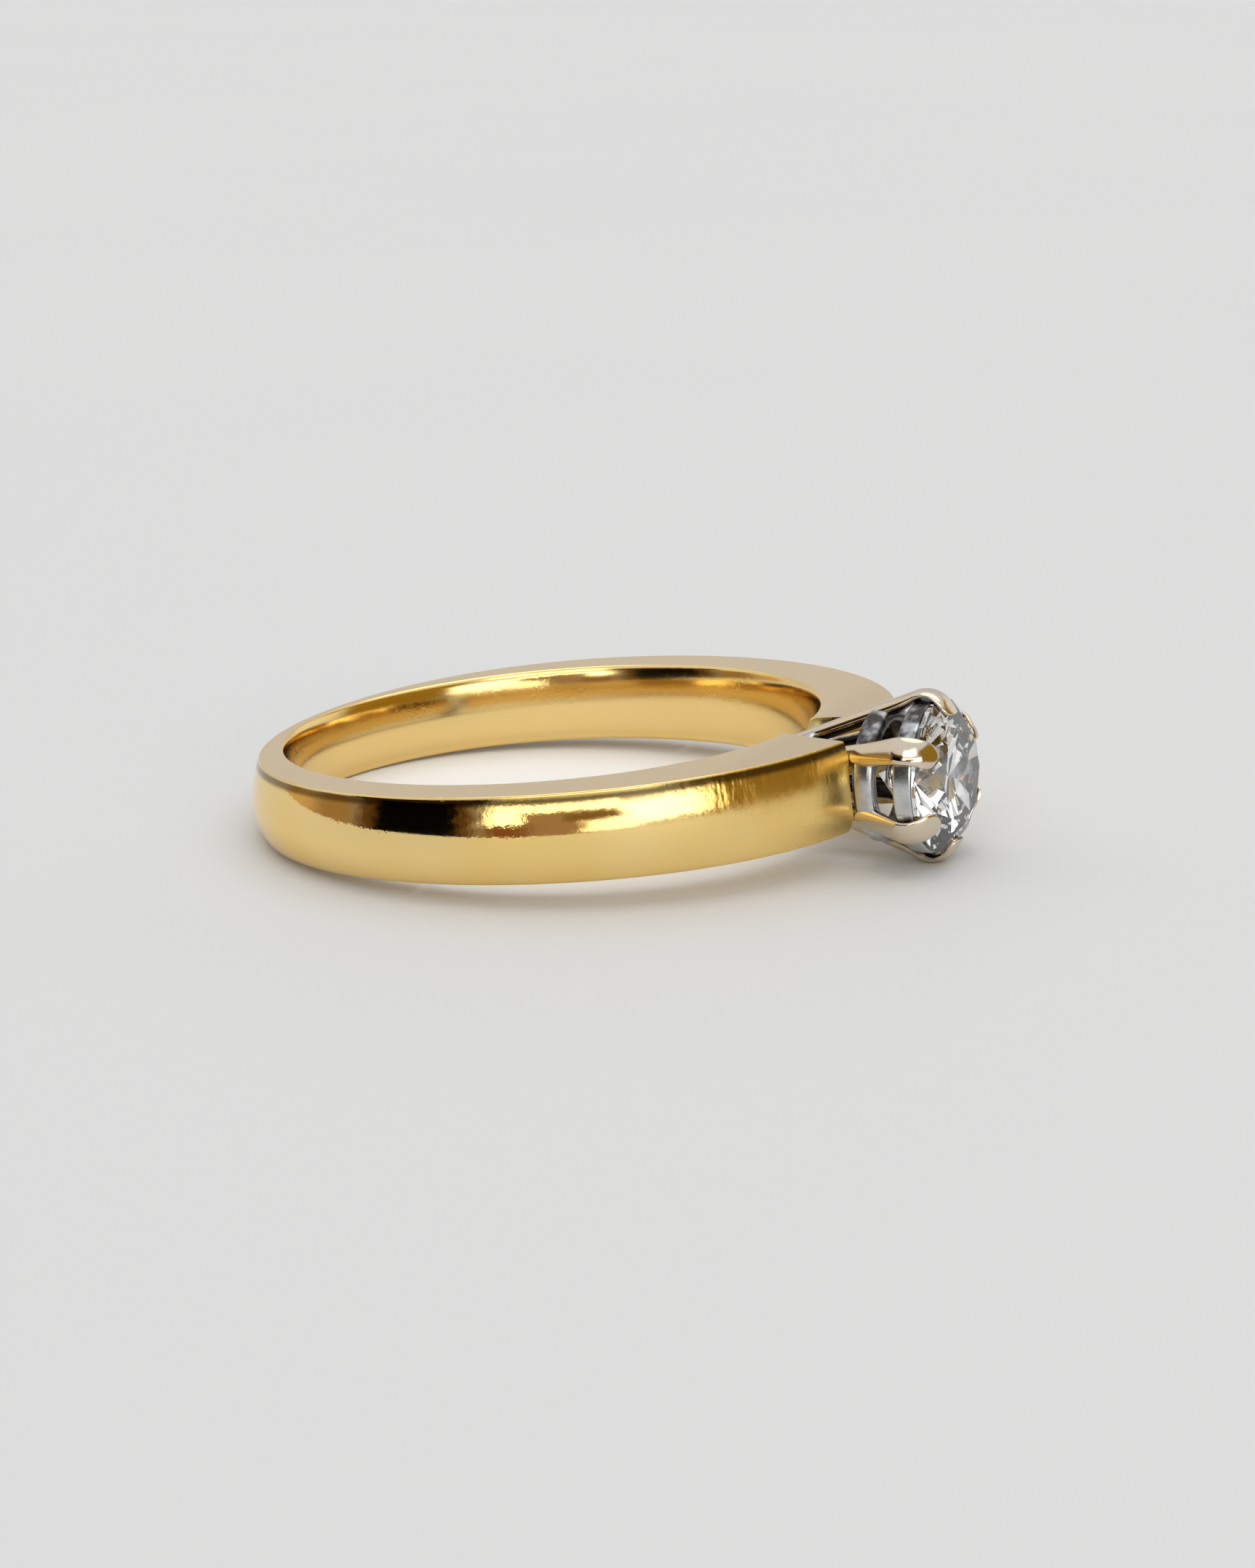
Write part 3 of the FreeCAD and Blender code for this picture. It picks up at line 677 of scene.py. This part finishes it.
def makeHeadRing(name, values):
    inputs = {key: values[key] for key in ("start", "rise", "topRadius", "wall", "round")}
    inputs["spread"] = math.tan(values["lean"])
    inputs.update(ringSteps)
    tree, wire, size = newTree(name + "Tree", inputs)
    path = wire.make("GeometryNodeCurvePrimitiveCircle", sockets={
        "Resolution": size["steps"], "Radius": 1.0})
    outline = wire.make("GeometryNodeCurvePrimitiveQuadrilateral", sockets={
        "Width": size["wall"], "Height": size["rise"]})
    rounded = wire.make("GeometryNodeFilletCurve", {"mode": "POLY"}, {
        "Curve": outline, "Count": size["cornerSteps"], "Radius": size["round"], "Limit Radius": True})
    tube = wire.make("GeometryNodeCurveToMesh", sockets={"Curve": path, "Profile Curve": rounded})
    # the circle's plane becomes the plane across the head, and the section leans with the claws
    px, py, pz = splitPlace(wire, wire.make("GeometryNodeInputPosition"))
    reach = (px * px + py * py).sqrt()
    radius = (size["topRadius"] - size["wall"] / 2 + (reach - 1)
              + (pz - size["rise"] / 2) * size["spread"])
    place = wire.make("ShaderNodeCombineXYZ", sockets={
        "X": size["start"] + size["rise"] / 2 + pz, "Y": px / reach * radius, "Z": py / reach * radius})
    ring = wire.make("GeometryNodeSetPosition", sockets={"Geometry": tube, "Position": place})
    endTree(wire, ring, ringFinish)
    return pieceFromTree(name, tree, inputs, ringFinish, [values["node"]])


ringFinish = makeWhiteGold("ringWhiteGold", ringGold)
for ringName, ringValues in headRings.items():
    ring = makeHeadRing(ringName, ringValues)
    print(ringName, "made", len(ring.data.polygons))

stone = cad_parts["diamond"]
stone.data.materials.clear()
stone.data.materials.append(makeDiamond(diamond))
print("stone finished")


def restingPlane():
    # the ring lies on its lowest claw and on the lower rim of the band's back
    clawPoints = [v.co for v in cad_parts["claw_4"].data.vertices]
    bandPoints = [v.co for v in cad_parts["shank"].data.vertices if v.co.x < 0]
    slope = 0.0
    for attempt in range(6):     # the two lowest points settle within a few rounds
        low = min(clawPoints, key=lambda p: p.z - slope * p.x)
        back = min(bandPoints, key=lambda p: p.z - slope * p.x)
        slope = (low.z - back.z) / (low.x - back.x)
    return slope, low.z - slope * low.x


floorSlope, floorHeight = restingPlane()
floorSize = {"width": 12.0, "drop": 0.01 * mm, "levelOff": 0.5, "strips": 120}


def makeFloor(values):
    # a plane under the ring, which levels off past the head
    half = values["width"] / 2
    level = values["levelOff"]
    height = floorHeight - values["drop"]
    points = []
    for step in range(values["strips"] + 1):
        x = half * (2 * step / values["strips"] - 1) ** 3
        fall = floorSlope * (x if x < 0 else level * math.tanh(x / level))
        points += [(x, -half, height + fall), (x, half, height + fall)]
    faces = [(2 * step, 2 * step + 2, 2 * step + 3, 2 * step + 1) for step in range(values["strips"])]
    mesh = bpy.data.meshes.new("floor")
    mesh.from_pydata(points, [], faces)
    mesh.shade_smooth()
    floor = bpy.data.objects.new("floor", mesh)
    bpy.context.scene.collection.objects.link(floor)
    mesh.materials.append(makeFloorFinish(floorFinish))


makeFloor(floorSize)

# the room as the polished metal sees it: soft cards by azimuth and elevation, in degrees
room = {
    "horizon": (0.83, 0.83, 0.835, 1),
    "zenith": (0.91, 0.91, 0.92, 1),
    "cards": [
        # azimuth from the stone, half span, elevation, half span, softness, colour
        (117, 50, 16, 16, 14, (0.70, 0.69, 0.69)),
        (20, 46, 6, 26, 8, (0.36, 0.22, 0.03)),
        (-70, 11, 5, 12, 5, (0.40, 0.27, 0.20)),
        (-85, 8, 3, 7, 5, (0.24, 0.10, 0.05)),
        (-70, 20, 18.5, 2.4, 2.0, (2.6, 2.6, 2.5)),
        (-86, 5, 13.5, 4.0, 3, (3.2, 3.2, 3.0)),
        (-62, 28, 35, 8, 6, (2.8, 2.8, 2.6)),
        (-35, 17, 11, 7, 5, (3.2, 3.2, 3.0)),
        (-52, 8, 5, 4.0, 3, (2.4, 2.3, 2.1)),
        (-57, 9, 13, 2.6, 2.5, (0.24, 0.15, 0.06)),
        (-172, 12, 6, 10, 7, (0.66, 0.46, 0.24)),
        (-153, 12, 8, 14, 7, (0.36, 0.23, 0.10)),
        (-118, 25, 10, 17, 6, (0.12, 0.06, 0.02)),
        (-117, 16, 10, 15, 3, (0.002, 0.002, 0.002)),
        (-120, 28, 26.5, 4.0, 2.0, (0.10, 0.05, 0.015)),
        (64, 22, 12, 12, 8, (0.95, 0.95, 0.95)),
    ],
    "wobble": 9.0,               # how far the cards' edges stray, in degrees
    "aroundScale": 14,
    "aloftScale": 17,
    "zenithFrom": 60,
    "strength": 0.88,
}


def makeRoom(values):
    world = bpy.data.worlds.new("room")
    bpy.context.scene.world = world
    world.use_nodes = True
    tree = world.node_tree
    tree.nodes.clear()
    wire = Wire(tree)
    direction = wire.make("ShaderNodeTexCoord", out=0)      # Generated: the way the ray goes
    x, y, z = splitPlace(wire, direction)
    degrees = 180 / math.pi
    stray = noise(wire, direction, values["aroundScale"], 3, 0.6) - 0.5
    azimuth = wire.maths("ARCTAN2", y, x) * degrees + stray * values["wobble"]
    elevation = z.asin() * degrees
    strayUp = noise(wire, direction, values["aloftScale"], 3, 0.6) - 0.5
    aboveHorizon = elevation.smooth(0, values["zenithFrom"])
    colour = mixColour(wire, aboveHorizon, values["horizon"], values["zenith"])
    elevation = elevation + strayUp * (values["wobble"] / 3)
    for around, spanAround, above, spanAbove, soft, shade in values["cards"]:
        aside = wire.maths("WRAP", azimuth - around, 180.0, -180.0).size()
        aloft = (elevation - above).size()
        mask = ((1 - aside.smooth(spanAround - soft, spanAround + soft))
                * (1 - aloft.smooth(spanAbove - soft / 2, spanAbove + soft / 2)))
        colour = mixColour(wire, mask, colour, (*shade, 1))
    background = wire.make("ShaderNodeBackground", sockets={
        "Color": colour, "Strength": values["strength"]})
    wire.make("ShaderNodeOutputWorld", sockets={"Surface": background})


makeRoom(room)

softBox = {
    "spread": 60,
    "power": 0.62,
    "azimuth": 60,
    "elevation": 76,
    "colour": (1.0, 0.995, 0.985),
}


def makeSoftBox(values):
    light = bpy.data.lights.new("softBox", "SUN")
    light.angle = math.radians(values["spread"])
    light.energy = values["power"]
    light.color = values["colour"]
    lamp = bpy.data.objects.new("softBox", light)
    turn, rise = math.radians(values["azimuth"]), math.radians(values["elevation"])
    toLight = Vector((math.cos(turn) * math.cos(rise), math.sin(turn) * math.cos(rise), math.sin(rise)))
    lamp.rotation_euler = toLight.to_track_quat("Z", "Y").to_euler()
    bpy.context.scene.collection.objects.link(lamp)


makeSoftBox(softBox)

camera = {
    "azimuth": 26.93,
    "elevation": 13.17,
    "roll": -4.17,
    "distance": 117.4 * mm,
    "aside": -2.35 * mm,
    "above": 0.76 * mm,
    "lens": 83.5,
    "nearest": 1 * mm,
    "farthest": 10.0,
}


def makeCamera(values):
    turn, rise, roll = (math.radians(values[key]) for key in ("azimuth", "elevation", "roll"))
    back = Vector((math.sin(turn) * math.cos(rise), -math.cos(turn) * math.cos(rise), math.sin(rise)))
    right = (-back).cross(Vector((0, 0, 1))).normalized()
    up = right.cross(-back)
    right, up = (math.cos(roll) * right + math.sin(roll) * up,
                 math.cos(roll) * up - math.sin(roll) * right)
    data = bpy.data.cameras.new("camera")
    data.lens = values["lens"]
    data.clip_start = values["nearest"]
    data.clip_end = values["farthest"]
    eye = bpy.data.objects.new("camera", data)
    bpy.context.scene.collection.objects.link(eye)
    place = back * values["distance"] - right * values["aside"] - up * values["above"]
    eye.matrix_world = Matrix.Translation(place) @ Matrix((right, up, back)).transposed().to_4x4()
    bpy.context.scene.camera = eye


makeCamera(camera)
bpy.context.scene.view_settings.view_transform = "Standard"
print("floor, light and camera made")
